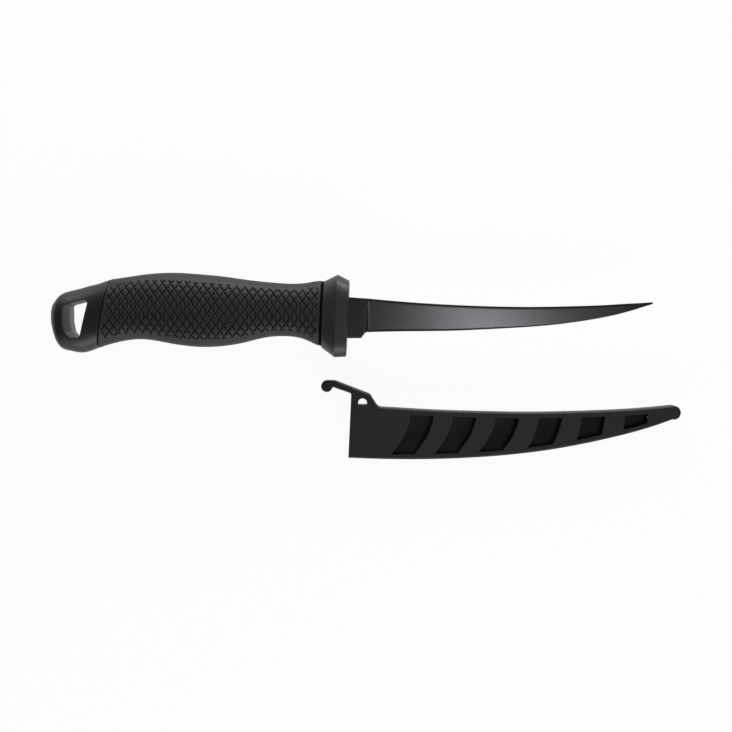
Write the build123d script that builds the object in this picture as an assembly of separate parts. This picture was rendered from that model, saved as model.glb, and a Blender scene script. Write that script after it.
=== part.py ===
from build123d import *
import os
from math import atan2, ceil, cos, degrees, dist, pi, radians, sin, tan

# A fillet knife, and the sheath that was drawn off its blade, both lying on one side.
#
# Axes while the knife is built: +X runs from the guard towards the blade's tip, +Y towards the
# spine and +Z out of the knife's side. X and Y are zero where the blade's axis meets the guard's
# front face, and Z is zero on the knife's middle plane. The sheath is built on the same axes, as it
# sits on the blade, and is then laid beside the knife. At the end everything is moved so that the
# origin is at the middle of the whole part's footprint, on the surface that it lies on.
# All sizes are in millimetres and degrees.

# Blade
blade_length = 152.4
blade_height = 20.4
blade_thickness = 2.3
tip_thickness = 1.0
edge_thickness = 0.3
spine_flat = 1.2
ricasso_length = 10.15
heel_land = 0.9
heel_setback = 3.0

# Blade sections: share of the blade's length, then spine and edge as shares of its height.
blade_section_shares = (
    (0.17, 0.395, -0.3403),
    (0.33, 0.316, -0.3263),
    (0.485, 0.272, -0.2773),
    (0.62, 0.2625, -0.2153),
    (0.75, 0.282, -0.1103),
    (0.85, 0.31, 0.0167),
    (0.93, 0.346, 0.1667),
    (0.98, 0.365, 0.2847),
    (1.0, 0.377, 0.3307),
)
ricasso_spine_share = 0.465
ricasso_edge_share = -0.358
heel_share = -0.507
flat_limit_share = 0.3

# Handle envelope, shared by the grip, the spacer and the butt cap
handle_length = 147.0
handle_height = 36.0
handle_thickness = 24.0
handle_roundness = 2.3
oval_points = 16

# Handle sections: share of the handle's length behind the guard's front face, top and bottom as
# shares of its height, and its thickness there as a share of the greatest thickness.
handle_section_shares = (
    (0.0726, 0.5100, -0.4246, 0.875),
    (0.1000, 0.5080, -0.3916, 0.865),
    (0.1476, 0.4790, -0.3046, 0.845),
    (0.2084, 0.4725, -0.2611, 0.83),
    (0.2845, 0.4970, -0.2816, 0.86),
    (0.3524, 0.5290, -0.3486, 0.91),
    (0.4233, 0.5700, -0.3966, 0.965),
    (0.4943, 0.5980, -0.4096, 0.99),
    (0.5967, 0.6220, -0.3656, 0.98),
    (0.6970, 0.5940, -0.3026, 0.945),
    (0.7578, 0.5570, -0.3226, 0.92),
    (0.8085, 0.5190, -0.3716, 0.9),
    (0.8490, 0.4640, -0.4236, 0.885),
    (0.8774, 0.4360, -0.4676, 0.88),
    (0.9028, 0.4056, -0.4866, 0.9),
    (0.9443, 0.3640, -0.4586, 0.91),
    (0.9677, 0.3300, -0.4256, 0.885),
    (0.9826, 0.2780, -0.3456, 0.79),
    (0.9931, 0.2200, -0.2246, 0.63),
    (0.9978, 0.1200, -0.0806, 0.44),
)

# Guard, from its rear face over the ridge to its front face: each section's top and bottom as shares
# of the height there, and its thickness as a share of the handle's greatest thickness
guard_length = 12.55
guard_ridge_setback = 5.95
guard_lean = 2.6
guard_height = 41.25
guard_roundness = 3.0
guard_rear_shares = (0.502, -0.418, 0.87)
guard_ridge_shares = (0.514, -0.481, 1.0)
guard_front_shares = (0.441, -0.475, 0.955)
guard_ridge_round = 0.6
guard_front_round = 0.8

# Spacer between guard and grip, which lies a little below their surfaces
spacer_thickness = 1.35
spacer_inset = 0.4

# Flat seam between the grip and the butt cap, which leans more than the guard
butt_length = 25.5
seam_setback = handle_length - butt_length
seam_lean = 10.4
seam_round = 0.3

# Scale pattern moulded into both flanks of the grip: two crossing sets of straight grooves. The net is
# placed by one crossing near the guard, and its rows of scales fall slightly towards the guard.
scale_length = 8.03
scale_height = 11.24
scale_row_lean = -2.8
crossing_setback = 20.05
crossing_rise = -0.6
groove_width = 0.72
groove_depth = 0.5
pattern_end_margin = 0.9
pattern_top_margin = 3.4
pattern_bottom_margin = 2.4

# Stem inside the grip
core_height = 17.0
core_thickness = 13.0
core_corner = 4.0
core_socket_depth = 4.0

# Tang, which ends short of the seam
tang_end_margin = 16.2
tang_length = seam_setback - tang_end_margin
tang_height = 11.0
tang_end_height = 8.0
tang_rise = 2.5

# Tang pins, spread evenly between the first one and the one nearest to the tang's end
pin_radius = 2.5
pin_count = 2
pin_setback = 38.0
pin_end_margin = 24.0

# Lanyard hole in the butt cap: corners as shares of its width and height from its lower left
hole_inset = 8.05
hole_drop = 9.0
hole_width = 10.55
hole_height = 17.2
hole_corner = 0.9
hole_draft = 5.0
hole_rim_round = 0.3
rim_depth_share = 0.3
hole_corner_shares = ((0.0, 0.834), (1.0, 1.0), (0.625, 0.0), (0.28, 0.0), (0.09, 0.139), (0.0, 0.406))

# Sheath shell, which leaves room round the blade inside its walls
sheath_wall = 1.7
sheath_side_wall = 1.8
sheath_end_room = 14.85
sheath_side_room = 1.0
sheath_slot_room = 1.15
sheath_length = blade_length + sheath_end_room
sheath_height = blade_height + 2 * (sheath_side_wall + sheath_side_room)
sheath_thickness = blade_thickness + 2 * (sheath_wall + sheath_slot_room)
sheath_edge_round = 0.9
mouth_gap = 0.65
sheath_drop = 58.0

# Sheath outline: share of its length from the mouth, and height as a share of its height
sheath_top_shares = (
    (0.0, 0.50),
    (0.102, 0.4826),
    (0.248, 0.428),
    (0.391, 0.398),
    (0.538, 0.3826),
    (0.683, 0.398),
    (0.829, 0.4356),
    (0.974, 0.513),
)
sheath_bottom_shares = (
    (0.0, -0.4924),
    (0.199, -0.5227),
    (0.393, -0.481),
    (0.5865, -0.356),
    (0.7806, -0.1174),
    (0.8774, 0.0417),
    (0.974, 0.25),
)
sheath_tip_share = 0.405

# Hook arm on the sheath, with its rises measured from the top of the sheath's mouth
bulb_radius = 2.9
bulb_setback = 10.8
bulb_rise = 10.25
arm_width = 3.6
arm_bend_setback = 6.85
arm_shoulder_reach = 11.1
arm_shoulder_rise = 6.2
arm_foot_reach = 15.25
arm_foot_drop = 0.6
arm_corner = 1.3
arm_shoulder_round = 2.2
arm_foot_round = 4.0
arm_bend_round = 5.0

# Lanyard eye on the sheath
eye_width = 4.45
eye_height = 3.4
eye_reach = 7.25
eye_rise = 0.8

# Windows: leaning strips cut through the front, and narrower ones between them through the back.
# They share the length between the first window and the solid end, with a rib after each.
window_count = 6
window_start = 31.45
window_end_room = 6.2
window_pitch = (sheath_length - window_start - window_end_room) / window_count
rib_width = 9.85
window_width = window_pitch - rib_width
window_top_drop = 4.1
window_height_room = 6.3
window_rise = sheath_height / 2 - window_top_drop
window_height = sheath_height - window_height_room
window_run = 9.0
window_top_margin = 2.8
window_bottom_margin = 2.4
back_window_inset = 1.3
back_window_margin = 1.0

# Each window's lean as a share of the run, and the shape of its side from top to bottom: how far it
# has gone back as a share of the run, and how far down as a share of the height. The first and last
# points lie outside the window, so that the sheath's own edges trim it.
window_lean_shares = (1.0, 1.0, 1.0, 0.8, 0.63, 0.37)
window_curve_shares = (
    (0.0, -0.2),
    (0.0, 0.0),
    (0.055, 0.17),
    (0.19, 0.36),
    (0.43, 0.60),
    (0.72, 0.79),
    (1.05, 1.0),
    (1.35, 1.2),
)

# Clearances and cutting overrun
fit_gap = 0.05
overrun = 5.0


def lean_x(height):
    """X of a plane that leans with the guard, at a height above the blade's axis."""
    return height * tan(radians(guard_lean))


def leaning_plane(setback, lean=guard_lean):
    """Plane across the handle that crosses the axis at -setback and leans as the guard or the seam does."""
    normal = (cos(radians(lean)), -sin(radians(lean)), 0)
    across = (sin(radians(lean)), cos(radians(lean)), 0)
    return Plane(origin=(-setback, 0, 0), x_dir=across, z_dir=normal)


def upright_plane(x):
    """Plane across the knife at x, with its own first axis along +Y and its second along +Z."""
    return Plane(origin=(x, 0, 0), x_dir=(0, 1, 0), z_dir=(1, 0, 0))


def oval(top, bottom, thickness, roundness):
    """Superellipse between two heights: (2y/height)^n + (2z/thickness)^n = 1. The spline's parameter is
    the way round the unit shape, alike on all ovals of one roundness, so that lofts stay light."""
    unit = []
    for step in range(oval_points + 1):
        angle = 2 * pi * step / oval_points
        height_part = abs(cos(angle)) ** (2 / roundness) * (1 if cos(angle) >= 0 else -1)
        side_part = abs(sin(angle)) ** (2 / roundness) * (1 if sin(angle) >= 0 else -1)
        unit.append((height_part, side_part))
    way = [0.0]
    for here, there in zip(unit, unit[1:]):
        way.append(way[-1] + dist(here, there))
    middle = (top + bottom) / 2
    points = [(middle + up * (top - bottom) / 2, out * thickness / 2) for up, out in unit[:-1]]
    return make_face(Edge.make_spline(points, periodic=True, parameters=way))


def half_space(setback, forward, lean=guard_lean):
    """Large block in front of or behind the leaning plane that crosses the axis at -setback."""
    reach = handle_length + blade_length
    side = Rectangle(handle_height * 3, handle_thickness * 3)
    return extrude(leaning_plane(setback, lean) * side, reach if forward else -reach)


def make_handle_blank(inset):
    """Handle envelope from inside the guard to the butt, lofted through its ovals, made smaller by inset."""
    sections = []
    for along, top, bottom, thickness in handle_section_shares:
        section = oval(
            top * handle_height - inset,
            bottom * handle_height + inset,
            thickness * handle_thickness - 2 * inset,
            handle_roundness,
        )
        sections.append(upright_plane(-along * handle_length) * section)
    return loft(sections)


def make_core_bar(gap):
    """Stem between the spacer and its seat in the butt cap, grown on all sides by the gap."""
    front = guard_length + spacer_thickness
    back = seam_setback + core_socket_depth + gap
    section = RectangleRounded(core_height + 2 * gap, core_thickness + 2 * gap, core_corner + gap)
    bar = extrude(upright_plane(-back) * (Pos(tang_rise, 0) * section), back + overrun)
    return bar & half_space(front, False)


def tang_profile(gap):
    """Side view of the tang, tapering to its end, grown by the gap."""
    root = tang_height / 2 + gap
    end = tang_end_height / 2 + gap
    back = -tang_length - gap
    front = ricasso_length / 2
    return make_face(
        Polyline(
            (front, tang_rise + root),
            (back, tang_rise + end),
            (back, tang_rise - end),
            (front, tang_rise - root),
            close=True,
        )
    )


def make_tang(gap):
    """Flat tang, grown by the gap when it is used to cut its own slot."""
    return extrude(tang_profile(gap), blade_thickness / 2 + gap, both=True)


def pin_places():
    """X of each tang pin, from the first one behind the guard to the last one before the tang's end."""
    step = (tang_length - pin_end_margin - pin_setback) / (pin_count - 1)
    return [-(pin_setback + step * index) for index in range(pin_count)]


def make_blade():
    """Ground blade, full-thickness ricasso and tang in one piece of steel."""
    spine = ricasso_spine_share * blade_height
    edge = ricasso_edge_share * blade_height
    heel = heel_share * blade_height
    ricasso_side = make_face(
        Polyline(
            (lean_x(-heel), -heel),
            (ricasso_length, spine),
            (ricasso_length, edge),
            (ricasso_length - heel_land, edge),
            (ricasso_length - heel_setback, heel),
            (lean_x(heel), heel),
            close=True,
        )
    )
    ricasso = extrude(ricasso_side, blade_thickness / 2, both=True)
    sections = [grind_section(ricasso_length, spine, edge)]
    for along, spine_share, edge_share in blade_section_shares:
        place = along * blade_length
        sections.append(grind_section(place, spine_share * blade_height, edge_share * blade_height))
    blade = ricasso + loft(sections) + make_tang(0)
    for place in pin_places():
        blade -= Pos(place, tang_rise) * Cylinder(pin_radius + fit_gap, blade_thickness * 2)
    return blade


def grind_section(place, spine, edge):
    """Six-sided slice of the ground blade: a flat strip under the spine, then a long bevel."""
    back = (blade_thickness + (tip_thickness - blade_thickness) * place / blade_length) / 2
    land = edge_thickness / 2
    shoulder = spine - min(spine_flat, (spine - edge) * flat_limit_share)
    outline = Polyline(
        (spine, back),
        (shoulder, back),
        (edge, land),
        (edge, -land),
        (shoulder, -back),
        (spine, -back),
        close=True,
    )
    return upright_plane(place) * make_face(outline)


def guard_oval(shares, height, setback, roundness):
    """One of the guard's three leaning sections."""
    top, bottom, thickness = shares
    section = oval(top * height, bottom * height, thickness * handle_thickness, roundness)
    return leaning_plane(setback) * section


def make_guard():
    """Guard that swells from the spacer to its ridge and falls slightly to its front face."""
    rear = guard_oval(guard_rear_shares, handle_height, guard_length, handle_roundness)
    ridge = guard_oval(guard_ridge_shares, guard_height, guard_ridge_setback, guard_roundness)
    front = guard_oval(guard_front_shares, guard_height, 0, guard_roundness)
    guard = loft([rear, ridge], ruled=True) + loft([ridge, front], ruled=True)
    guard = fillet(guard.edges().sort_by(SortBy.LENGTH)[-1], guard_ridge_round)
    front_face = guard.faces().sort_by(Axis.X)[-1]
    guard = fillet(front_face.outer_wire().edges(), guard_front_round)
    return guard - make_tang(fit_gap)


def make_spacer():
    """Thin black ring plate behind the guard."""
    back = guard_length + spacer_thickness
    ring = make_handle_blank(spacer_inset) & half_space(guard_length, False) & half_space(back, True)
    return ring - make_tang(fit_gap)


def grip_block(end_margin):
    """Everything between the spacer and the seam, less a margin at both ends."""
    front = half_space(guard_length + spacer_thickness + end_margin, False)
    return front & half_space(seam_setback - end_margin, True, seam_lean)


def groove_net():
    """Side view of the two crossing sets of grooves, long enough to cover the grip."""
    row_slope = tan(radians(scale_row_lean))
    ahead = ceil(handle_height / scale_length)
    behind = ceil(seam_setback / scale_length)
    strips = []
    for step in range(-ahead, behind):
        place = Pos(-crossing_setback - step * scale_length, crossing_rise - step * scale_length * row_slope)
        for rise in (scale_height, -scale_height):
            slant = degrees(atan2(rise + row_slope * scale_length, scale_length))
            strips.append(place * Rot(0, 0, slant) * Rectangle(3 * handle_height, groove_width))
    return Sketch() + strips


def pattern_band():
    """Side view of the handle as far as the butt's middle, less the smooth rubber on back and belly."""
    top = []
    bottom = []
    for along, high, low, thickness in handle_section_shares:
        if along * handle_length < seam_setback + butt_length / 2:
            top.append((-along * handle_length, high * handle_height - pattern_top_margin))
            bottom.append((-along * handle_length, low * handle_height + pattern_bottom_margin))
    edges = [Spline(*top), Line(top[-1], bottom[-1]), Spline(*bottom), Line(bottom[0], top[0])]
    return make_face(edges)


def make_grooves():
    """What the mould's ridges take out of both flanks: the net's prism outside a smaller handle."""
    prism = extrude(groove_net() & pattern_band(), handle_thickness, both=True)
    return (prism & grip_block(pattern_end_margin)) - make_handle_blank(groove_depth)


def make_grip(blank):
    """Soft sleeve from the spacer to the seam, moulded around the stem, with its scale pattern."""
    sleeve = (blank & grip_block(0)) - make_grooves()
    return sleeve - make_core_bar(fit_gap)


def make_core():
    """Stiff stem with the tang's slot and the pins' holes."""
    core = make_core_bar(0) - make_tang(fit_gap)
    for place in pin_places():
        core -= Pos(place, tang_rise) * Cylinder(pin_radius, core_thickness * 2)
    return core


def make_pins():
    """Separate pins through the stem and the tang, each as long as the stem is thick."""
    return [Pos(place, tang_rise) * Cylinder(pin_radius, core_thickness) for place in pin_places()]


def lanyard_outline():
    """Side view of the lanyard hole with rounded corners."""
    left = hole_inset - handle_length
    corners = [
        (left + across * hole_width, -hole_drop + up * hole_height)
        for across, up in hole_corner_shares
    ]
    outline = make_face(Polyline(*corners, close=True))
    return fillet(outline.vertices(), hole_corner)


def make_butt_cap(blank):
    """Butt behind the seam, with the stem's socket and the drafted lanyard hole."""
    cap = blank & half_space(seam_setback, False, seam_lean)
    seam_face = cap.faces().filter_by(GeomType.PLANE).sort_by(Axis.X)[-1]
    cap = fillet(seam_face.outer_wire().edges(), seam_round) - make_core_bar(fit_gap)
    outline = lanyard_outline()
    front = extrude(outline, handle_thickness / 2, taper=-hole_draft)
    back = extrude(outline, -handle_thickness / 2, taper=-hole_draft)
    holed = cap - front - back
    cut_edges = new_edges(cap, front, back, combined=holed)
    rims = [edge for edge in cut_edges if abs(edge.center().Z) > rim_depth_share * handle_thickness]
    return fillet(rims, hole_rim_round)


def sheath_line(shares, rise):
    """Points along the sheath's top or bottom edge, moved up by rise; the mouth leans like the guard."""
    points = []
    for along, height in shares:
        up = height * sheath_height + rise
        points.append((mouth_gap + (1 - along) * lean_x(up) + along * sheath_length, up))
    return points


def sheath_band(top_inset, bottom_inset):
    """Side view of the sheath's body between its top and bottom edges, each moved inwards."""
    top = sheath_line(sheath_top_shares, -top_inset)
    bottom = sheath_line(sheath_bottom_shares, bottom_inset)
    nose = (mouth_gap + sheath_length - (top_inset + bottom_inset) / 2, sheath_tip_share * sheath_height)
    edges = [
        Spline(*bottom),
        ThreePointArc(bottom[-1], nose, top[-1]),
        Spline(*top),
        Line(top[0], bottom[0]),
    ]
    return make_face(edges)


def arm_face():
    """Side view of the hook arm, from its foot on the sheath's top edge to the bulb."""
    sheath_top = sheath_height / 2
    bulb_y = sheath_top + bulb_rise
    top_bend = (-arm_bend_setback, bulb_y + bulb_radius)
    shoulder = (arm_shoulder_reach, sheath_top + arm_shoulder_rise)
    foot = (arm_foot_reach, sheath_top - arm_foot_drop)
    slope = (shoulder[1] - top_bend[1]) / (shoulder[0] - top_bend[0])
    under_bend = (-arm_bend_setback, top_bend[1] - arm_width)
    under_rise = under_bend[1] + slope * (mouth_gap - under_bend[0])
    under_mouth = (mouth_gap + lean_x(under_rise), under_rise)
    arm = make_face(
        Polyline(
            (-bulb_setback, bulb_y + bulb_radius),
            top_bend,
            shoulder,
            foot,
            (foot[0], 0),
            (mouth_gap, 0),
            under_mouth,
            under_bend,
            (-bulb_setback, bulb_y),
            close=True,
        )
    )
    rounds = (
        (top_bend, arm_bend_round),
        (shoulder, arm_shoulder_round),
        (under_mouth, arm_corner),
    )
    for corner, radius in rounds:
        vertex = arm.vertices().sort_by_distance((corner[0], corner[1], 0))[0]
        arm = fillet(vertex, radius)
    bulb = Pos(-bulb_setback, bulb_y) * Circle(bulb_radius)
    return arm + bulb


def eye_face():
    """D-shaped lanyard eye: flat below, round above."""
    half = eye_width / 2
    shoulder = eye_height - half
    edges = [
        Line((-half, 0), (half, 0)),
        Line((half, 0), (half, shoulder)),
        ThreePointArc((half, shoulder), (0, eye_height), (-half, shoulder)),
        Line((-half, shoulder), (-half, 0)),
    ]
    return Pos(eye_reach, sheath_height / 2 + eye_rise) * make_face(edges)


def window_strip(start, lean, width):
    """Leaning strip of a constant width between two like curves."""
    run = window_run * lean
    left = [(start - run * back, window_rise - window_height * down) for back, down in window_curve_shares]
    right = [(x + width, y) for x, y in left]
    edges = [
        Spline(*left),
        Line(left[-1], right[-1]),
        Spline(*right),
        Line(right[0], left[0]),
    ]
    return make_face(edges)


def front_window(index):
    """Outline of one window through the front, trimmed by the sheath's inset band."""
    start = window_start + window_pitch * index
    strip = window_strip(start, window_lean_shares[index], window_width)
    return strip & sheath_band(window_top_margin, window_bottom_margin)


def back_window(index):
    """Outline of one window through the back, behind the rib that follows a front window."""
    start = window_start + window_pitch * index + window_width + back_window_inset
    width = window_pitch - window_width - 2 * back_window_inset
    strip = window_strip(start, window_lean_shares[index], width)
    band = sheath_band(window_top_margin + back_window_margin, window_bottom_margin + back_window_margin)
    return strip & band


def make_sheath():
    """One-piece moulded sheath as it sits on the blade, with its middle plane at Z zero."""
    half = sheath_thickness / 2
    outline = sheath_band(0, 0) + arm_face()
    foot = (arm_foot_reach, sheath_height / 2 - arm_foot_drop, 0)
    corner = outline.vertices().sort_by_distance(foot)[0]
    outline = fillet(corner, arm_foot_round)
    shell = extrude(outline, half, both=True)
    rims = shell.faces().sort_by(Axis.Z)[-1].edges() + shell.faces().sort_by(Axis.Z)[0].edges()
    shell = fillet(rims, sheath_edge_round)
    cavity = sheath_band(sheath_side_wall, sheath_side_wall)
    slot = extrude(cavity, half - sheath_wall, both=True)
    mouth_top = sheath_line(sheath_top_shares, -sheath_side_wall)[0][1]
    mouth_bottom = sheath_line(sheath_bottom_shares, sheath_side_wall)[0][1]
    mouth = Box(4 * sheath_side_wall, mouth_top - mouth_bottom, sheath_thickness - 2 * sheath_wall)
    shell = shell - slot - Pos(mouth_gap, (mouth_top + mouth_bottom) / 2) * mouth
    shell -= extrude(eye_face(), sheath_thickness, both=True)
    for index in range(window_count):
        shell -= Pos(0, 0, half - sheath_wall) * extrude(front_window(index), sheath_wall)
        shell -= Pos(0, 0, -half) * extrude(back_window(index), sheath_wall)
    return shell


def lay_down(nodes):
    """Move every node so that the footprint's middle is the origin and the lowest point is at Z zero."""
    boxes = [solid.bounding_box() for solids in nodes.values() for solid in solids]
    low = [min(box.min.X for box in boxes), min(box.min.Y for box in boxes), min(box.min.Z for box in boxes)]
    high = [max(box.max.X for box in boxes), max(box.max.Y for box in boxes)]
    shift = Pos(-(low[0] + high[0]) / 2, -(low[1] + high[1]) / 2, -low[2])
    return {name: [shift * solid for solid in solids] for name, solids in nodes.items()}


blank = make_handle_blank(0)
sheath_rest = Pos(0, -sheath_drop, (sheath_thickness - handle_thickness) / 2)
nodes = {
    "blade": [make_blade()],
    "guard": [make_guard()],
    "guard_spacer": [make_spacer()],
    "handle_core": [make_core()],
    "tang_pins": make_pins(),
    "grip": [make_grip(blank)],
    "butt_cap": [make_butt_cap(blank)],
    "sheath": [sheath_rest * make_sheath()],
}

os.makedirs("parts", exist_ok=True)
for name, solids in lay_down(nodes).items():
    piece = solids[0] if len(solids) == 1 else Compound(children=solids)
    export_step(piece, "parts/" + name + ".step")
    box = piece.bounding_box()
    print(name, "volume", round(piece.volume, 1), "low", box.min, "high", box.max)
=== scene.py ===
# %% [markdown]
# # Fillet knife with its blade sheath
#
# The object is a slim knife for taking the fillets off a fish, and the moulded sheath that was
# drawn off its blade. Both lie on one side on a white table, and the photograph looks straight down
# on them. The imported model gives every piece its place, so this script adds what the solids leave
# out: the rounded scales of the soft grip, the blade's real grind, and the finish of each surface.

import bpy
import numpy as np
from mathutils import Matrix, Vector


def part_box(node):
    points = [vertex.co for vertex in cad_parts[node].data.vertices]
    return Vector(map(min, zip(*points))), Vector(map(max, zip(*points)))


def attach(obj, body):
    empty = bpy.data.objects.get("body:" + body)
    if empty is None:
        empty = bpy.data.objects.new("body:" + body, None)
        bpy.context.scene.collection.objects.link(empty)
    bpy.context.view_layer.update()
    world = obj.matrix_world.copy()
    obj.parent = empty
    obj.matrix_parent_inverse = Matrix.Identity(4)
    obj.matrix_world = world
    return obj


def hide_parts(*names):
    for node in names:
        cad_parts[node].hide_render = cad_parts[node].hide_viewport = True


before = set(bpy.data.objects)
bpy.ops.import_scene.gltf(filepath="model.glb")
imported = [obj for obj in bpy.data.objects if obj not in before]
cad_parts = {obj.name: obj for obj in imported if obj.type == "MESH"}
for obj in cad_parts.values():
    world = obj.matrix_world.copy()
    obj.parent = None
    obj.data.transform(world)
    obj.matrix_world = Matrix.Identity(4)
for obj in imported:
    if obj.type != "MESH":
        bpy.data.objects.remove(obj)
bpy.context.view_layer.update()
MM = 0.001

# %% [markdown]
# ## Where things are
#
# The knife's own axes run from the guard's front face along the blade, as in the part's source. The
# origin comes from the blade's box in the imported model, so nothing here is placed by eye.

# %% Knife axes
BLADE_LENGTH, GUARD_LEAN = 152.4, 2.6
blade_low, blade_high = (np.array(corner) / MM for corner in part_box("blade"))
KNIFE_ORIGIN = np.array([blade_high[0] - BLADE_LENGTH, *(blade_low[1:] + blade_high[1:]) / 2])


def from_knife_axes(points):
    """Millimetres on the knife's own axes, moved to the frame's origin and turned into metres."""
    return (points + KNIFE_ORIGIN) * MM


print("knife origin", KNIFE_ORIGIN.round(3))

# %% [markdown]
# ## Camera
#
# The photograph looks straight down. Its lines of sight spread from a place over the knife's blade,
# near the guard: only there does a wall that runs straight down show no side. The knife lies in the
# upper half of the picture, so the frame is shifted down from that place, as a view camera's back
# would be. The lens follows from the width of table that the picture takes in at the height of the
# knife's middle plane.

# %% Camera
CAMERA_X, CAMERA_Y, CAMERA_ABOVE_PLANE = 9.0, 0.255, 500.0
FIELD_WIDTH, FRAME_DROP, SENSOR_WIDTH = 366.0, 24.5, 36.0

camera = bpy.data.objects.new("camera", bpy.data.cameras.new("camera"))
bpy.context.scene.collection.objects.link(camera)
camera_place = np.array([CAMERA_X, CAMERA_Y, CAMERA_ABOVE_PLANE])
camera.location = Vector(from_knife_axes(camera_place))
camera.data.sensor_width = SENSOR_WIDTH
camera.data.lens = SENSOR_WIDTH * CAMERA_ABOVE_PLANE / FIELD_WIDTH
camera.data.shift_y = -FRAME_DROP / FIELD_WIDTH
bpy.context.scene.camera = camera
print("lens", round(camera.data.lens, 2), "mm, shift", round(camera.data.shift_y, 3))

# %% [markdown]
# ## Helpers for surfaces
#
# A shape is worked out as a grid of points: one direction of the grid runs along the piece and the
# other round it. Two small functions turn such a grid into faces and then into a mesh object.
# Points that fall on each other, as at a pole, are joined, and a face that has shrunk to a line is
# dropped.

# %% Grid faces and mesh objects
WELD_STEP = 1e-4


def grid_triangles(rows, columns, flip=None):
    """Two triangles for each cell of a grid whose points are numbered row by row, and whose last row
    meets its first. Where flip is true for a cell, its diagonal runs the other way."""
    row, column = np.meshgrid(np.arange(rows), np.arange(columns - 1), indexing="ij")
    near, far = row * columns + column, (row + 1) % rows * columns + column
    cells = np.stack([near, near + 1, far + 1, far], axis=-1).reshape(-1, 4)
    turned = np.zeros(len(cells), bool) if flip is None else flip.reshape(-1)
    first = np.where(turned[:, None], cells[:, [0, 1, 3]], cells[:, [0, 1, 2]])
    second = np.where(turned[:, None], cells[:, [1, 2, 3]], cells[:, [0, 2, 3]])
    return np.concatenate([first, second])


def welded(points, faces):
    """Joins points that agree to WELD_STEP millimetres and drops the faces that lost a corner."""
    whole_steps = (points / WELD_STEP).round()
    _, keep, number = np.unique(whole_steps, axis=0, return_index=True, return_inverse=True)
    faces = number.reshape(-1)[faces]
    first, second, third = faces.T
    sound = (first != second) & (second != third) & (third != first)
    return keep, faces[sound]


def add_piece(name, points, faces, body, values=None):
    """Makes a smooth mesh object of triangles from points on the knife's axes, with named point
    values."""
    keep, faces = welded(points, faces)
    mesh = bpy.data.meshes.new(name)
    mesh.from_pydata(from_knife_axes(points[keep]), [], faces.tolist())
    mesh.polygons.foreach_set("use_smooth", np.ones(len(faces), bool))
    for label, numbers in (values or {}).items():
        layer = mesh.attributes.new(label, "FLOAT", "POINT")
        layer.data.foreach_set("value", numbers[keep].astype(np.float32))
    mesh.validate()
    piece = bpy.data.objects.new(name, mesh)
    bpy.context.scene.collection.objects.link(piece)
    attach(piece, body)
    print(name, len(keep), "points", len(faces), "triangles")
    return piece


# %% [markdown]
# ## Helpers for lines
#
# The handle's outline was measured at some twenty places. A draughtsman would lay a thin spline
# through such points, and the natural cubic spline is that curve: it passes through each point and
# bends as little as it can between them.

# %% Spline through stations


def spline_line(stations, values):
    """Natural cubic spline: solves for the bend at each station, and returns a function of arrays."""
    order = np.argsort(stations)
    x, y = np.array(stations, float)[order], np.array(values, float)[order]
    gap, rise = np.diff(x), np.diff(y)
    system, bend = np.eye(len(x)), np.zeros(len(x))
    inner = np.arange(1, len(x) - 1)
    system[inner, inner - 1] = gap[:-1]
    system[inner, inner] = 2 * (gap[:-1] + gap[1:])
    system[inner, inner + 1] = gap[1:]
    bend[inner] = 6 * np.diff(rise / gap)
    bend = np.linalg.solve(system, bend)

    def line(at):
        spot = np.clip(np.searchsorted(x, at) - 1, 0, len(gap) - 1)
        left, right, width = at - x[spot], x[spot + 1] - at, gap[spot]
        cubic = (bend[spot] * right**3 + bend[spot + 1] * left**3) / (6 * width)
        straight_right = (y[spot] / width - bend[spot] * width / 6) * right
        straight_left = (y[spot + 1] / width - bend[spot + 1] * width / 6) * left
        return cubic + straight_right + straight_left

    return line


def smooth_step(value):
    """Rises from 0 to 1 as value does, level at both ends: 3v^2 - 2v^3."""
    value = np.clip(value, 0, 1)
    return value * value * (3 - 2 * value)


# %% [markdown]
# ## Grip: the outer shape
#
# The grip is a soft rubber sleeve over a stiff stem. Its cross section is an oval that swells in
# the palm and narrows behind the guard. A superellipse gives that oval: its corners are a little
# fuller than an ellipse's. The stations repeat the part's source to a little behind the seam: share
# of the handle's length behind the guard, top and bottom as shares of its height, and thickness as
# a share of the greatest thickness.

# %% Grip envelope
HANDLE_LENGTH, HANDLE_HEIGHT, HANDLE_THICKNESS, HANDLE_ROUNDNESS = 147.0, 36.0, 24.0, 2.3
HANDLE_SECTION_SHARES = (
    (0.0726, 0.5100, -0.4246, 0.875),
    (0.1000, 0.5080, -0.3916, 0.865),
    (0.1476, 0.4790, -0.3046, 0.845),
    (0.2084, 0.4725, -0.2611, 0.83),
    (0.2845, 0.4970, -0.2816, 0.86),
    (0.3524, 0.5290, -0.3486, 0.91),
    (0.4233, 0.5700, -0.3966, 0.965),
    (0.4943, 0.5980, -0.4096, 0.99),
    (0.5967, 0.6220, -0.3656, 0.98),
    (0.6970, 0.5940, -0.3026, 0.945),
    (0.7578, 0.5570, -0.3226, 0.92),
    (0.8085, 0.5190, -0.3716, 0.9),
    (0.8490, 0.4640, -0.4236, 0.885),
    (0.8774, 0.4360, -0.4676, 0.88),
    (0.9028, 0.4056, -0.4866, 0.9),
    (0.9443, 0.3640, -0.4586, 0.91),
)
PALM_X = -89.0
share_along, share_top, share_bottom, share_side = np.array(HANDLE_SECTION_SHARES).T
handle_top = spline_line(-share_along * HANDLE_LENGTH, share_top * HANDLE_HEIGHT)
handle_bottom = spline_line(-share_along * HANDLE_LENGTH, share_bottom * HANDLE_HEIGHT)
handle_side = spline_line(-share_along * HANDLE_LENGTH, share_side * HANDLE_THICKNESS / 2)


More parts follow.
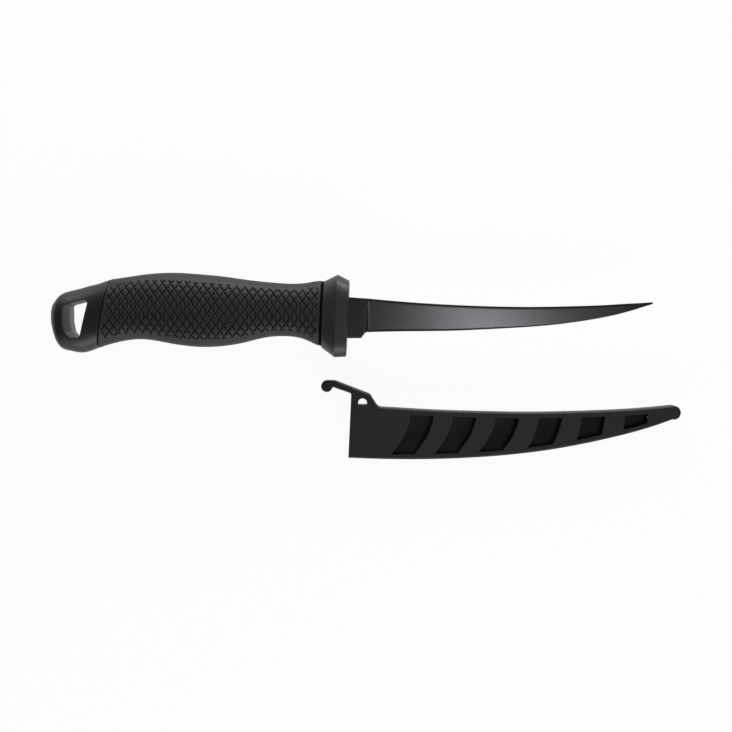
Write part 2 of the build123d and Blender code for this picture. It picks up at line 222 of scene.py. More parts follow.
def handle_depth(x, y):
    """Half thickness of the handle at a point of its side view: side * (1 - |height|^n)^(1/n)."""
    top, bottom = handle_top(x), handle_bottom(x)
    height = np.abs(2 * y - top - bottom) / (top - bottom)
    return handle_side(x) * np.clip(1 - height**HANDLE_ROUNDNESS, 0, 1) ** (1 / HANDLE_ROUNDNESS)


palm_height = float(handle_top(PALM_X) - handle_bottom(PALM_X))
print("grip is", round(palm_height, 1), "mm high in the palm")

# %% [markdown]
# ## Grip: where the pattern lies
#
# The scales cover both flanks and stop short of the back and the belly, where the rubber is left
# smooth. Towards the guard they stop before the black ring, and towards the butt they run nearly
# into the seam, which leans more than the guard does. The width of the smooth rubber was measured
# at seven places, and a spline carries it from one to the next.

# %% Grip borders
GRIP_FRONT, FRONT_MARGIN, SEAM_MARGIN, PATTERN_FADE = 13.9, 0.9, 0.6, 0.9
SEAM_SETBACK, SEAM_LEAN, SEAM_GAP, END_ROUND = 121.5, 10.4, 0.45, 0.3
BORDER_X = (-125.6, -113.6, -99.6, -88.6, -58.6, -33.6, -13.6)
SMOOTH_BACK = (2.15, 2.45, 3.15, 3.65, 3.65, 2.95, 2.95)
SMOOTH_BELLY = (3.3, 3.0, 2.9, 3.3, 3.2, 2.4, 3.1)
smooth_back, smooth_belly = spline_line(BORDER_X, SMOOTH_BACK), spline_line(BORDER_X, SMOOTH_BELLY)


def pattern_top(x):
    """Upper edge of the pattern in the side view: the handle's top less the smooth back."""
    return handle_top(x) - smooth_back(x)


def pattern_bottom(x):
    """Lower edge of the pattern in the side view: the handle's bottom plus the smooth belly."""
    return handle_bottom(x) + smooth_belly(x)


def grip_front(y):
    """X of the sleeve's front end, which leans as the guard does: y times the lean's tangent, less
    the setback."""
    return y * np.tan(np.radians(GUARD_LEAN)) - GRIP_FRONT


def grip_back(y):
    """X of the sleeve's rear end, which leans with the seam, ahead of it by the dark gap that shows
    there."""
    return y * np.tan(np.radians(SEAM_LEAN)) - SEAM_SETBACK + SEAM_GAP


sleeve_ends = float(grip_back(0.0)), float(grip_front(0.0))
print("sleeve runs from", round(sleeve_ends[0], 1), "to", round(sleeve_ends[1], 1), "mm")

# %% [markdown]
# ## Grip: the scales
#
# The pattern is a net of grooves like fish scales: a diamond lattice whose edges all bulge towards
# the blade, so each scale has a sharp left corner and a round right side. Two lattice numbers run
# along the diamonds' edges. A groove is where one of them is whole, and the bulge moves each point
# ahead by a sine of both.

# %% Grip lattice
SCALE_WIDTH, SCALE_HEIGHT, SCALE_SLOPE, SCALE_BULGE = 4.034, 5.47, -0.049, 0.7
LATTICE_X, LATTICE_Y = -117.45, 4.45


def lattice_numbers(across, up):
    """The two numbers that are whole on the two families of grooves: width share plus or minus
    height share."""
    return across / SCALE_WIDTH + up / SCALE_HEIGHT, across / SCALE_WIDTH - up / SCALE_HEIGHT


def side_view(across, up):
    """Side view place of a lattice place: rows slanted, and points moved ahead by half the bulge
    times the sum of two squared sines, one of each lattice number."""
    rising, falling = lattice_numbers(across, up)
    bulge = SCALE_BULGE * (np.sin(np.pi * rising) ** 2 + np.sin(np.pi * falling) ** 2) / 2
    return LATTICE_X + across + bulge, LATTICE_Y + up + SCALE_SLOPE * across


def groove_distance(number):
    """Distance in millimetres from the nearest groove of one family: how far the number is from a
    whole one, over the length of its slope."""
    return np.abs(number - np.round(number)) / np.hypot(1 / SCALE_WIDTH, 1 / SCALE_HEIGHT)


print("a scale is", 2 * SCALE_WIDTH, "mm long and", 2 * SCALE_HEIGHT, "mm high")

# %% [markdown]
# ## Grip: points on a flank
#
# The mesh's own grid follows the lattice, so every groove has a row of points along its bottom and
# stays crisp. A bump map would be less work, but it would leave the rubber flat from the side. The
# lattice reaches past the flank on all four sides, and the points outside are moved onto its edges,
# where they are welded later.

# %% Grip flank
SCALE_STEPS, STEPS_BEHIND, STEPS_AHEAD, STEPS_DOWN, STEPS_UP = 8, 40, 424, 50, 53
FITTING_ROUNDS = 8


def border_height(across, border):
    """Lattice height at which a column of the lattice meets a border line, found by repeated
    correction."""
    up = np.zeros_like(across)
    for _ in range(FITTING_ROUNDS):
        x, y = side_view(across, up)
        up = up + border(x) - y
    return up


def kept_inside(across, up):
    """Moves the lattice places outside the flank onto its edges, found by repeated correction."""
    wanted_across, wanted_up = across, up
    for _ in range(FITTING_ROUNDS):
        x, y = side_view(across, up)
        back, front = grip_back(y) + END_ROUND, grip_front(y) - END_ROUND
        across = np.clip(wanted_across, back - (x - across), front - (x - across))
        low, high = border_height(across, pattern_bottom), border_height(across, pattern_top)
        up = np.clip(wanted_up, low, high)
    return across, up


across_steps = np.arange(-STEPS_BEHIND, STEPS_AHEAD) * SCALE_WIDTH / (2 * SCALE_STEPS)
up_steps = np.arange(-STEPS_DOWN, STEPS_UP) * SCALE_HEIGHT / (2 * SCALE_STEPS)
flank_across, flank_up = kept_inside(*np.meshgrid(across_steps, up_steps))
flank_x, flank_y = side_view(flank_across, flank_up)
flank_reach = flank_x.min().round(1), flank_x.max().round(1)
print("flank grid", flank_x.shape, "from", flank_reach[0], "to", flank_reach[1], "mm")

# %% [markdown]
# ## Grip: round the back and the belly
#
# Between the two flanks the sleeve is smooth, so a few rows of points carry the oval over the back
# and under the belly. They share their first and last points with the flanks, and lean into the
# seam's curve near the rear end. The flank on the far side is the mirror image of the near one, as a
# two-part mould would leave it.

# %% Grip strips
STRIP_STEPS, LEAN_IN = 12, 8.0


def strip(x, y):
    """Rows over the back or belly from a flank's border: the oval's angle runs evenly from one flank
    to the other, and x follows the sleeve's ends, by a share that dies out over LEAN_IN
    millimetres."""
    top, bottom = handle_top(x), handle_bottom(x)
    height = (2 * y - top - bottom) / (top - bottom)
    border_angle = np.arccos(np.abs(height) ** (HANDLE_ROUNDNESS / 2))
    angle = border_angle * np.linspace(1, -1, STRIP_STEPS + 1)[1:-1, None]
    sign, level = np.sign(height), np.abs(np.cos(angle)) ** (2 / HANDLE_ROUNDNESS)
    guess = (top + bottom) / 2 + sign * level * (top - bottom) / 2
    back_share = np.clip(1 - (x - grip_back(y)) / LEAN_IN, 0, 1)
    front_share = np.clip(1 - (grip_front(y) - x) / LEAN_IN, 0, 1)
    near_back = back_share * (grip_back(guess) - grip_back(y))
    near_front = front_share * (grip_front(guess) - grip_front(y))
    x = x + near_back + near_front
    top, bottom = handle_top(x), handle_bottom(x)
    depth = np.abs(np.sin(angle)) ** (2 / HANDLE_ROUNDNESS) * handle_side(x) * np.sign(angle)
    return x, (top + bottom) / 2 + sign * level * (top - bottom) / 2, depth


top_x, top_y, top_z = strip(flank_x[-1], flank_y[-1])
low_x, low_y, low_z = strip(flank_x[0], flank_y[0])
flank_z = handle_depth(flank_x, flank_y)
grip_x = np.concatenate([flank_x, top_x, flank_x[::-1], low_x])
grip_y = np.concatenate([flank_y, top_y, flank_y[::-1], low_y])
grip_z = np.concatenate([flank_z, top_z, -flank_z[::-1], -low_z])
print("sleeve grid", grip_x.shape)

# %% [markdown]
# ## Grip: how deep the grooves are
#
# The mould's ridges press V-shaped grooves into the rubber, and each scale is a little higher in its
# middle than at its rim. Both are a height to add along the direction that points straight out of
# the oval. They fade out at the pattern's borders, so that no groove ends in a step. How deep a
# point lies in a groove is also kept as a mask of painted shade, which darkens the rubber's colour
# in the grooves.

# %% Grip relief
GROOVE_DEPTH, GROOVE_HALF_WIDTH, GROOVE_SHADE = 0.7, 0.36, 1.6
SCALE_CROWN, CROWN_REACH = 0.08, 1.2


def outward(x, y, z):
    """Direction across the handle that points straight out of its oval: the slope of
    |height|^n + |side|^n."""
    top, bottom = handle_top(x), handle_bottom(x)
    half, side, power = (top - bottom) / 2, handle_side(x), HANDLE_ROUNDNESS - 1
    height = (y - (top + bottom) / 2) / half
    up = np.sign(height) * np.abs(height) ** power / half
    out = np.sign(z) * np.abs(z / side) ** power / side
    length = np.hypot(up, out)
    return up / length, out / length


def flank_relief():
    """Crown of the scales less the V of the grooves, both fading out at the pattern's borders, and
    the painted shade of each point, which is full a little above the groove's bottom."""
    rising, falling = lattice_numbers(flank_across, flank_up)
    distance = np.minimum(groove_distance(rising), groove_distance(falling))
    inside = smooth_step((pattern_top(flank_x) - flank_y) / PATTERN_FADE)
    inside = inside * smooth_step((flank_y - pattern_bottom(flank_x)) / PATTERN_FADE)
    inside = inside * smooth_step((grip_front(flank_y) - FRONT_MARGIN - flank_x) / PATTERN_FADE)
    inside = inside * smooth_step((flank_x - grip_back(flank_y) - SEAM_MARGIN) / PATTERN_FADE)
    groove = np.clip(1 - distance / GROOVE_HALF_WIDTH, 0, 1) * inside
    crown = smooth_step(distance / CROWN_REACH) * inside
    height = SCALE_CROWN * (crown - inside) - GROOVE_DEPTH * groove
    return height, np.minimum(GROOVE_SHADE * groove, 1)


# The second value is painted shade for the grooves, carried round the sleeve beside the relief.
relief, groove = flank_relief()
smooth = np.zeros_like(top_x)
grip_relief = np.concatenate([relief, smooth, relief[::-1], smooth])
grip_groove_shade = np.concatenate([groove, smooth, groove[::-1], smooth])
outward_y, outward_z = outward(grip_x, grip_y, grip_z)
print("deepest groove", -relief.min().round(2), "mm")

# %% [markdown]
# ## Grip: the two ends
#
# Rubber can't be moulded to a sharp rim, so both ends of the sleeve roll over by a third of a
# millimetre. At the seam the sleeve also stands a little proud of the hard butt, as a soft moulding
# does where it meets a stiff one. Behind the roll the end is closed, so that no view looks inside.

# %% Grip ends
LIP_HEIGHT, LIP_REACH, END_INSET, ROLL_DEGREES = 0.15, 2.5, 4.0, (30.0, 60.0, 90.0)


def end_columns(x, y, z, sign):
    """Rolls an end of the sleeve over a quarter circle, ahead by its sine and inwards by one less its
    cosine, then closes it with a ring and a pole inside."""
    angle = np.radians(ROLL_DEGREES)[None, :]
    ahead = x[:, None] + sign * END_ROUND * np.sin(angle)
    inward = END_ROUND * (1 - np.cos(angle))
    inward = np.concatenate([inward, [[END_INSET]]], axis=1)
    ahead = np.concatenate([ahead, ahead[:, -1:]], axis=1)
    way_y, way_z = outward(x, y, z)
    ring_y = y[:, None] - inward * way_y[:, None]
    ring_z = z[:, None] - inward * way_z[:, None]
    pole = np.full((len(x), 1), ahead[:, -1].mean())
    middle = np.full((len(x), 1), y.mean())
    return (
        np.concatenate([ahead, pole], axis=1),
        np.concatenate([ring_y, middle], axis=1),
        np.concatenate([ring_z, 0 * middle], axis=1),
    )


lip = LIP_HEIGHT * smooth_step(1 - (grip_x - grip_back(grip_y)) / LIP_REACH)
body_y = grip_y + (grip_relief + lip) * outward_y
body_z = grip_z + (grip_relief + lip) * outward_z
back_end = end_columns(grip_x[:, 0], body_y[:, 0], body_z[:, 0], -1)
front_end = end_columns(grip_x[:, -1], body_y[:, -1], body_z[:, -1], 1)
sleeve = zip(back_end, (grip_x, body_y, body_z), front_end)
grip_points = np.stack(
    [np.concatenate([back[:, ::-1], body, front], axis=1) for back, body, front in sleeve], axis=-1
)
end_width = back_end[0].shape[1]
groove_shade_value = np.pad(grip_groove_shade, ((0, 0), (end_width, end_width)))
print("sleeve points", grip_points.shape)

# %% [markdown]
# ## Grip: the mesh
#
# The grid's cells are cut into triangles along the grooves, never across them, because a diagonal
# that crossed a groove would fill it in. The finished sleeve stands for the grip's solid.

# %% Grip mesh


def groove_diagonals():
    """True for the cells whose nearest groove rises to the left, so that a triangle's side lies along
    it."""
    rising, falling = lattice_numbers(flank_across, flank_up)
    nearer = groove_distance(rising) < groove_distance(falling)
    nearer = nearer[:-1, :-1]
    band = np.zeros((STRIP_STEPS, nearer.shape[1]), bool)
    cells = np.concatenate([nearer, band, ~nearer[::-1], band])
    return np.pad(cells, ((0, 0), (end_width, end_width)))


rows, columns = grip_points.shape[:2]
# The sleeve's groove attribute is a painted-shade mask that darkens the grooves in the rubber's colour.
grip = add_piece(
    "grip_sleeve",
    grip_points.reshape(-1, 3),
    grid_triangles(rows, columns, flip=groove_diagonals()),
    "knife",
    {"groove": groove_shade_value.reshape(-1)},
)
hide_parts("grip")

# %% [markdown]
# ## Blade: outline
#
# A fillet blade is slim and sweeps up to its point. It is a strip of stainless steel with a
# full-thickness block at its root, the ricasso, whose lower corner drops down as a heel. Behind the
# guard the same strip goes on as a hidden tang. The stations repeat the part's source, as shares of
# the blade's length and height. The heel's lower corner is rounded here, where the solid has a
# plain cut.

# %% Blade outline
BLADE_HEIGHT = 20.4
BLADE_SECTION_SHARES = (
    (0.0666, 0.465, -0.358),
    (0.17, 0.395, -0.3403),
    (0.33, 0.316, -0.3263),
    (0.485, 0.272, -0.2773),
    (0.62, 0.2625, -0.2153),
    (0.75, 0.282, -0.1103),
    (0.85, 0.31, 0.0167),
    (0.93, 0.346, 0.1667),
    (0.98, 0.365, 0.2847),
    (1.0, 0.377, 0.3307),
)
TANG_LENGTH, TANG_HEIGHT, TANG_END_HEIGHT, TANG_RISE = 105.3, 11.0, 8.0, 2.5
TANG_X, TANG_HALF = (-TANG_LENGTH, 0), (TANG_END_HEIGHT / 2, TANG_HEIGHT / 2)
HEEL_X = (0.0, 5.95, 6.65, 7.15, 7.65, 8.45, 9.05, 9.55, 10.15)
HEEL_Y = (-10.33, -10.33, -10.18, -9.73, -9.08, -7.83, -7.4, -7.3, -7.3)
BROAD_X = 30.0
blade_along, blade_spine, blade_edge = np.array(BLADE_SECTION_SHARES).T
ground_spine = spline_line(blade_along * BLADE_LENGTH, blade_spine * BLADE_HEIGHT)
ground_edge = spline_line(blade_along * BLADE_LENGTH, blade_edge * BLADE_HEIGHT)
root_x, root_spine = blade_along[0] * BLADE_LENGTH, blade_spine[0] * BLADE_HEIGHT


def spine_line(x):
    """Upper outline: tang, then a straight ricasso that falls to the root of the grind, then the
    spline."""
    tang = TANG_RISE + np.interp(x, TANG_X, TANG_HALF)
    ricasso = np.interp(x, (0, root_x), (BLADE_HEIGHT / 2, root_spine))
    ground = ground_spine(np.maximum(x, root_x))
    return np.where(x < 0, tang, np.where(x < root_x, ricasso, ground))


def edge_line(x):
    """Lower outline: tang, then the heel's rounded corner points, then the spline of the cutting
    edge."""
    tang = TANG_RISE - np.interp(x, TANG_X, TANG_HALF)
    heel = np.interp(x, HEEL_X, HEEL_Y)
    ground = ground_edge(np.maximum(x, root_x))
    return np.where(x < 0, tang, np.where(x < root_x, heel, ground))


broad_height = float(spine_line(BROAD_X) - edge_line(BROAD_X))
print("blade is", round(broad_height, 1), "mm high ahead of its heel")

# %% [markdown]
# ## Blade: the grind
#
# Each side is ground from a narrow flat below the spine down to a thin edge, and the last half
# millimetre or so is honed steeper. The grinding wheel leaves the ricasso in a curved wall, the plunge,
# which is as deep as the bevel is below the full thickness: nothing at the spine and most at the
# edge. The wall starts on a curved line and ends on a straight one, so its share of the grind is a
# smooth step between the two.

# %% Blade thickness
BLADE_THICKNESS, TIP_THICKNESS, SPINE_FLAT, FLAT_LIMIT_SHARE = 2.3, 1.0, 1.2, 0.3
EDGE_HALF, HONED_SHARE, HONED_HALF, CORNER_ROUND = 0.04, 0.05, 0.26, 0.18
PLUNGE_Y, PLUNGE_START_X = (-7.3, -6.7, 1.05, 5.85, 9.4), (8.25, 8.45, 8.85, 9.5, 10.05)
PLUNGE_END_X, RICASSO_MIDDLE_X = 10.6, 4.0
POINT_LENGTH, POINT_SHARE = 5.0, 0.4
POINT_X = (BLADE_LENGTH - POINT_LENGTH, BLADE_LENGTH)


def round_loss(inset):
    """What a corner's quarter circle takes off at a distance inside the corner: radius less the root
    of radius squared less the remaining distance squared."""
    left = np.clip(CORNER_ROUND - inset, 0, CORNER_ROUND)
    return CORNER_ROUND - np.sqrt(CORNER_ROUND**2 - left**2)


def blade_half(x, y):
    """Half thickness at a point of the side view: the ricasso's flat, mixed with the ground wedge by
    the plunge's share, less a round at the corners of the spine and the ricasso."""
    spine, edge = spine_line(x), edge_line(x)
    height, below, above = spine - edge, spine - y, y - edge
    along = np.clip(x / BLADE_LENGTH, 0, 1)
    back = (BLADE_THICKNESS + (TIP_THICKNESS - BLADE_THICKNESS) * along) / 2
    flat = np.minimum(SPINE_FLAT, FLAT_LIMIT_SHARE * height)
    honed = HONED_SHARE * height
    wedge = np.interp(x, POINT_X, (HONED_HALF, EDGE_HALF))
    share = np.clip((below - flat) / (height - flat - honed), 0, 1)
    bevel = back - (back - wedge) * share
    honing = EDGE_HALF + (wedge - EDGE_HALF) * np.clip(above / honed, 0, 1)
    ground = np.where(above < honed, honing, bevel)
    plunge_start = np.interp(y, PLUNGE_Y, PLUNGE_START_X)
    plunge = smooth_step((x - plunge_start) / (PLUNGE_END_X - plunge_start))
    half = back + (ground - back) * plunge
    half = half - round_loss(below) - round_loss(above) * (1 - plunge)
    return np.maximum(half * np.interp(x, POINT_X, (1, POINT_SHARE)), EDGE_HALF / 2)


ricasso_half = float(blade_half(np.array(RICASSO_MIDDLE_X), np.array(0.0)))
print("ricasso is", round(2 * ricasso_half, 2), "mm thick")

# %% [markdown]
# ## Blade: the mesh
#
# The rows of the blade's grid run lengthwise and its columns from edge to spine. The columns stand
# close together where the plunge curves and far apart along the straight blade, and the rows gather
# in the rounded corners and at the honed edge. Modifiers could bevel a plain solid, but they
# couldn't make a wall whose depth changes from spine to edge.

# %% Blade mesh
TANG_GAP, PLUNGE_REACH, PLUNGE_STEP, BLADE_STEP = 1e-3, 1.0, 0.12, 1.0
CORNER_ROWS, CORNER_LIMIT_SHARE, BEVEL_ROWS, LEAN_REACH = 4, 0.02, 20, 2.0
plunge_limit = PLUNGE_END_X + PLUNGE_REACH
tang_columns = np.array([-TANG_LENGTH, -TANG_LENGTH / 2, -TANG_GAP])
plunge_columns = np.arange(0.0, plunge_limit, PLUNGE_STEP)
long_columns = np.linspace(plunge_limit, BLADE_LENGTH, int(BLADE_LENGTH / BLADE_STEP))
blade_x = np.concatenate([tang_columns, plunge_columns, long_columns])
corner_steps = CORNER_ROUND * (1 - np.cos(np.linspace(0, np.pi / 2, CORNER_ROWS)))


def blade_rows(x):
    """Heights of the rows on one side, from the edge to the spine: close together in the rounded
    corners and at the honed edge, and even between."""
    spine, edge = spine_line(x)[None], edge_line(x)[None]
    height = spine - edge
    corner = np.minimum(corner_steps[:, None], height * CORNER_LIMIT_SHARE)
    even = np.linspace(0, 1, BEVEL_ROWS + 2)[1:-1, None]
    low = edge + HONED_SHARE * height
    high = spine - np.minimum(SPINE_FLAT, FLAT_LIMIT_SHARE * height)
    bevel = low + (high - low) * even
    return np.concatenate([edge + corner, low, bevel, high, (spine - corner)[::-1]])


side_y = blade_rows(blade_x)
side_x = np.broadcast_to(blade_x, side_y.shape)
side_z = blade_half(side_x, side_y)
lean_share = np.clip(1 - side_x / LEAN_REACH, 0, 1)
lean = np.where(side_x >= 0, side_y * np.tan(np.radians(GUARD_LEAN)) * lean_share, 0)
loop_x = np.concatenate([side_x + lean, (side_x + lean)[::-1]])
loop_y = np.concatenate([side_y, side_y[::-1]])
loop_z = np.concatenate([side_z, -side_z[::-1]])
print("blade grid", loop_x.shape)

# %% Blade ends and object
tang_end = (-TANG_LENGTH, TANG_RISE, 0.0)
blade_tip = (BLADE_LENGTH, loop_y[:, -1].mean(), 0.0)
first = [np.full((len(loop_y), 1), value) for value in tang_end]
last = [np.full((len(loop_y), 1), value) for value in blade_tip]
whole = zip(first, (loop_x, loop_y, loop_z), last)
blade_points = np.stack([np.concatenate(parts, axis=1) for parts in whole], axis=-1)
rows, columns = blade_points.shape[:2]
blade = add_piece(
    "blade_ground",
    blade_points.reshape(-1, 3),
    grid_triangles(rows, columns),
    "knife",
)
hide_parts("blade")

# %% [markdown]
# ## Materials
#
# Every colour is written as the sRGB hex that a paint chart would give, and one function turns it
# linear. One function adds a node with its settings and links, and one starts a material with its
# shader. A Mix node keeps a set of sockets for each kind of value, all with the same names, so the
# sockets for colours are reached by their numbers.

# %% Material helpers
MIX_FACTOR, MIX_LOW, MIX_HIGH, MIX_RESULT = 0, 6, 7, 2


def linear(hex_colour):
    """sRGB hex to linear RGBA: each channel c is c/12.92 when small, otherwise
    ((c+0.055)/1.055)^2.4."""
    channels = np.array([int(hex_colour[i : i + 2], 16) for i in (1, 3, 5)]) / 255
    curve = ((channels + 0.055) / 1.055) ** 2.4
    return (*np.where(channels <= 0.04045, channels / 12.92, curve), 1.0)


def add_node(material, kind, sockets=None, **settings):
    """Adds a node; a socket that is given another node's output is linked, and any other value is
    set."""
    node = material.node_tree.nodes.new(kind)
    for name, value in settings.items():
        setattr(node, name, value)
    for name, value in (sockets or {}).items():
        if isinstance(value, bpy.types.NodeSocket):
            material.node_tree.links.new(value, node.inputs[name])
        else:
            node.inputs[name].default_value = value
    return node


def new_material(name, **sockets):
    """A material of one Principled shader; the keywords name its sockets with underscores for
    spaces."""
    material = bpy.data.materials.new(name)
    material.use_nodes = True
    shader = material.node_tree.nodes["Principled BSDF"]
    for socket, value in sockets.items():
        shader.inputs[socket.replace("_", " ")].default_value = value
    return material, shader


def finish_with(piece, material):
    """Gives a piece one material."""
    piece.data.materials.clear()
    piece.data.materials.append(material)


print("white is", np.round(linear("#FFFFFF"), 4))

# %% [markdown]
# ## Fine grain
#
# Moulded and ground surfaces aren't perfectly even, and that is what keeps a highlight from looking
# like glass. Noise on Object coordinates gives each surface such a grain, with its spacing in
# millimetres, as a bump and as a small change of roughness. Grain that is only hundredths of a
# millimetre apart would vanish in the picture, so it is drawn coarser, some tenths apart.

# %% Grain helpers


def grain(material, spacing, height, stretch=(1, 1, 1), detail=2.0):
    """Bump from noise on Object coordinates: spacing and height in millimetres, stretch along each
    axis."""
    place = add_node(material, "ShaderNodeTexCoord").outputs["Object"]
    frequency = tuple(1 / (spacing * MM * share) for share in stretch)
    scaled = add_node(material, "ShaderNodeMapping", {"Vector": place, "Scale": frequency})
    noise = add_node(
        material,
        "ShaderNodeTexNoise",
        {"Vector": scaled.outputs["Vector"], "Scale": 1.0, "Detail": detail},
    )
    bump = add_node(
        material,
        "ShaderNodeBump",
        {"Height": noise.outputs["Fac"], "Distance": height * MM, "Strength": 1.0},
    )
    shader = material.node_tree.nodes["Principled BSDF"]
    material.node_tree.links.new(bump.outputs["Normal"], shader.inputs["Normal"])
    return noise.outputs["Fac"]


def varied(material, socket, factor, low, high):
    """Drives one shader socket between two values by a factor, through a Map Range or a Mix of
    colours."""
    links, shader = material.node_tree.links, material.node_tree.nodes["Principled BSDF"]
    if isinstance(low, tuple):
        mix = add_node(material, "ShaderNodeMix", data_type="RGBA")
        links.new(factor, mix.inputs[MIX_FACTOR])
        mix.inputs[MIX_LOW].default_value = low
        mix.inputs[MIX_HIGH].default_value = high
        links.new(mix.outputs[MIX_RESULT], shader.inputs[socket])
    else:
        limits = {"Value": factor, "To Min": low, "To Max": high}
        span = add_node(material, "ShaderNodeMapRange", limits)
        links.new(span.outputs["Result"], shader.inputs[socket])


print("grain is set in millimetres, and a millimetre is", MM, "m")

# %% [markdown]
# ## Soft rubber of the grip
#
# The sleeve is thermoplastic rubber, moulded over the stem. Such rubber is a dark grey rather than
# black, and almost without gloss, because the mould's wall was blasted to a fine grain. Little light
# comes out of the narrow grooves, so they look black, and the grooves' black colour is painted shade.
# The mesh carries a painted-shade mask for each point in a groove, and that mask mixes the grey with
# the painted black.

# %% Grip rubber
# The groove colour is painted shade for the light the narrow grooves trap, mixed in by the groove mask.
RUBBER_FACE, RUBBER_GROOVE_SHADE = linear("#181819"), linear("#010101")
rubber, _ = new_material("thermoplastic_rubber_blasted")
fleck = grain(rubber, spacing=0.35, height=0.03)
depth = add_node(rubber, "ShaderNodeAttribute", attribute_name="groove").outputs["Fac"]
varied(rubber, "Base Color", depth, low=RUBBER_FACE, high=RUBBER_GROOVE_SHADE)
varied(rubber, "Roughness", fleck, low=0.54, high=0.64)
finish_with(grip, rubber)
print(rubber.name, np.round(RUBBER_FACE, 4))

# %% [markdown]
# ## Nylon of the guard, the butt and the stem
#
# All three are glass-filled nylon, moulded in black. The guard has the satin of a fine spark-eroded
# mould. The butt was moulded against a smoother wall and is blacker. Its thick walls sank a little
# as they cooled, which leaves a faint waviness instead of a grain. The stem is never seen, and its
# mould was left rough so that the rubber holds on to it.

# %% Nylon
NYLON_IOR = 1.53
guard_nylon, _ = new_material(
    "nylon_glass_filled_satin", Base_Color=linear("#222223"), IOR=NYLON_IOR
)
guard_grain = grain(guard_nylon, spacing=0.3, height=0.012)
varied(guard_nylon, "Roughness", guard_grain, low=0.40, high=0.50)
butt_nylon, _ = new_material("nylon_smooth_mould", Base_Color=linear("#0B0B0C"), IOR=NYLON_IOR)
butt_waves = grain(butt_nylon, spacing=1.6, height=0.006)
varied(butt_nylon, "Roughness", butt_waves, low=0.42, high=0.50)
core_nylon, _ = new_material("nylon_rough_inside", Base_Color=linear("#303030"), IOR=NYLON_IOR)
core_grain = grain(core_nylon, spacing=0.5, height=0.05)
varied(core_nylon, "Roughness", core_grain, low=0.55, high=0.7)
finish_with(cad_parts["guard"], guard_nylon)
finish_with(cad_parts["butt_cap"], butt_nylon)
finish_with(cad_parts["handle_core"], core_nylon)
print(guard_nylon.name, butt_nylon.name, core_nylon.name)

# %% [markdown]
# ## Black ring and pins
#
# The ring between guard and grip is a soft black rubber, and its near-black colour and weak gloss are
# partly painted shade for the narrow gap it sits in. The pins inside are plain turned steel, and the
# lathe's tool left fine rings round them, a fifth of a millimetre apart.

# %% Ring and pins
# The ring's near-black colour and low specular level are partly painted shade for the gap between guard
# and grip.
ring_rubber_and_gap_shade, _ = new_material(
    "nitrile_rubber_with_painted_gap_shade", Base_Color=linear("#010101"), Roughness=0.9, Specular_IOR_Level=0.1
)
grain(ring_rubber_and_gap_shade, spacing=0.25, height=0.02)
pin_steel, _ = new_material("turned_steel", Base_Color=linear("#B9BABD"), Metallic=1.0)
pin_rings = grain(pin_steel, spacing=0.2, height=0.01, stretch=(20, 20, 1))
varied(pin_steel, "Roughness", pin_rings, low=0.25, high=0.4)
finish_with(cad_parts["guard_spacer"], ring_rubber_and_gap_shade)
finish_with(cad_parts["tang_pins"], pin_steel)
print(ring_rubber_and_gap_shade.name, pin_steel.name)

# %% [markdown]
# ## Blade steel
#
# The blade is stainless steel with a thin black coating over a ground surface. The grinding belt ran
# across the blade, so its scratches go from spine to edge, and they spread a highlight along the
# blade. The real scratches are some hundredths of a millimetre apart, and here they are drawn
# coarser so that they show.

# %% Black steel
steel, _ = new_material(
    "stainless_black_coated_ground", Base_Color=linear("#565759"), Metallic=1.0
)
scratch = grain(steel, spacing=0.14, height=0.004, stretch=(1, 60, 1), detail=3.0)
varied(steel, "Roughness", scratch, low=0.19, high=0.24)
finish_with(blade, steel)
print(steel.name)

# %% [markdown]
# ## Sheath polypropylene
#
# The sheath is one moulding in black polypropylene with glass fibre. Its mould was spark-eroded,
# which leaves an even, dull grain on every outside face.

# %% Sheath plastic
polypropylene, _ = new_material(
    "polypropylene_spark_eroded", Base_Color=linear("#161617"), IOR=1.49
)
sheath_grain = grain(polypropylene, spacing=0.3, height=0.02)
varied(polypropylene, "Roughness", sheath_grain, low=0.50, high=0.58)
finish_with(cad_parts["sheath"], polypropylene)
print(polypropylene.name)

# %% [markdown]
# ## Table
#
# The set lies on a white laminate table. For the camera, for gloss and for clear material most of
# the table glows at strength 1, so that the picture's ground is white. The rest of it is lit as any
# surface is, so that the soft shadow stays. It is wide, so that a low view shows its far edge only
# near the top of the picture.

# %% Table
FLOOR_SIZE, FLOOR_DROP, FLOOR_GLOW = 16.0, 0.0002, 0.94
half = FLOOR_SIZE / 2
floor_corners = [(-half, -half), (half, -half), (half, half), (-half, half)]
floor_mesh = bpy.data.meshes.new("table")
floor_mesh.from_pydata([(x, y, -FLOOR_DROP) for x, y in floor_corners], [], [(0, 1, 2, 3)])
table = bpy.data.objects.new("table", floor_mesh)
bpy.context.scene.collection.objects.link(table)
print("table", FLOOR_SIZE, "m")

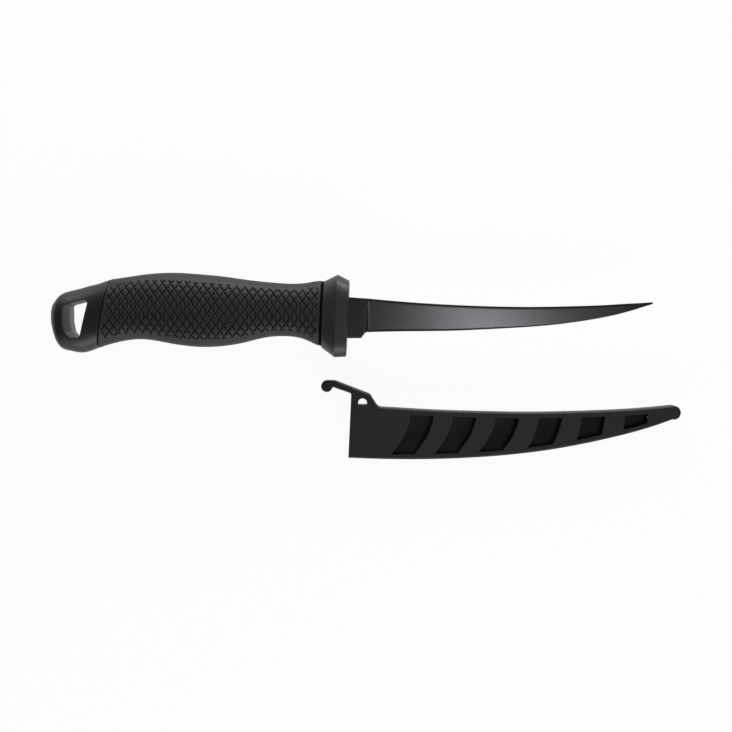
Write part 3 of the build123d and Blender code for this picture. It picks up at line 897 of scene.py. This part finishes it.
# %% Table laminate
laminate, laminate_shader = new_material(
    "white_laminate", Base_Color=linear("#F7F7F7"), Roughness=0.9
)
rays = add_node(laminate, "ShaderNodeLightPath").outputs
camera_or_gloss = add_node(
    laminate,
    "ShaderNodeMath",
    {0: rays["Is Camera Ray"], 1: rays["Is Glossy Ray"]},
    operation="MAXIMUM",
)
seen = add_node(
    laminate,
    "ShaderNodeMath",
    {0: camera_or_gloss.outputs[0], 1: rays["Is Transmission Ray"]},
    operation="MAXIMUM",
)
share = add_node(
    laminate, "ShaderNodeMath", {0: seen.outputs[0], 1: FLOOR_GLOW}, operation="MULTIPLY"
)
glow = add_node(laminate, "ShaderNodeEmission", {"Color": linear("#FFFFFF"), "Strength": 1.0})
blend = add_node(
    laminate,
    "ShaderNodeMixShader",
    {0: share.outputs[0], 1: laminate_shader.outputs[0], 2: glow.outputs[0]},
)
output = laminate.node_tree.nodes["Material Output"]
laminate.node_tree.links.new(blend.outputs[0], output.inputs["Surface"])
finish_with(table, laminate)
print(laminate.name)

# %% [markdown]
# ## Light
#
# A soft box stands on each long side, and a narrow one hangs high above the blade. The narrow one
# stands where the camera's line of sight goes after the ground side of the blade has mirrored it,
# and gives the blade its one bright stretch. The ground side leans towards the edge, so the box
# hangs on that side of the knife. A dim white room fills the rest.

# %% Lights
ROOM_LEVEL = 0.13


def soft_box(name, place, aim, width, depth, level):
    """A rectangular light from its place to its aim, in metres. Its face is as bright as level times
    white: power = pi * area * level."""
    light = bpy.data.objects.new(name, bpy.data.lights.new(name, "AREA"))
    light.data.shape = "RECTANGLE"
    light.data.size, light.data.size_y = width, depth
    light.data.energy = np.pi * width * depth * level
    light.location = place
    light.rotation_euler = (Vector(aim) - Vector(place)).to_track_quat("-Z", "Y").to_euler()
    bpy.context.scene.collection.objects.link(light)


soft_box(
    "box_spine_side", place=(0.1, 0.9, 0.3), aim=(0, 0.03, 0), width=1.3, depth=0.3, level=9.0
)
soft_box(
    "box_edge_side", place=(0.1, -0.9, 0.4), aim=(0, -0.02, 0), width=1.3, depth=0.3, level=5.8
)
soft_box(
    "box_over_blade",
    place=(0.216, -0.17, 1.1),
    aim=(0.06, 0.02, 0),
    width=0.09,
    depth=0.24,
    level=7.2,
)
world = bpy.data.worlds.new("studio")
world.use_nodes = True
bpy.context.scene.world = world
background = world.node_tree.nodes["Background"]
background.inputs["Color"].default_value = linear("#FFFFFF")
background.inputs["Strength"].default_value = ROOM_LEVEL
bpy.context.scene.view_settings.view_transform = "Standard"
print("three soft boxes and a dim room")
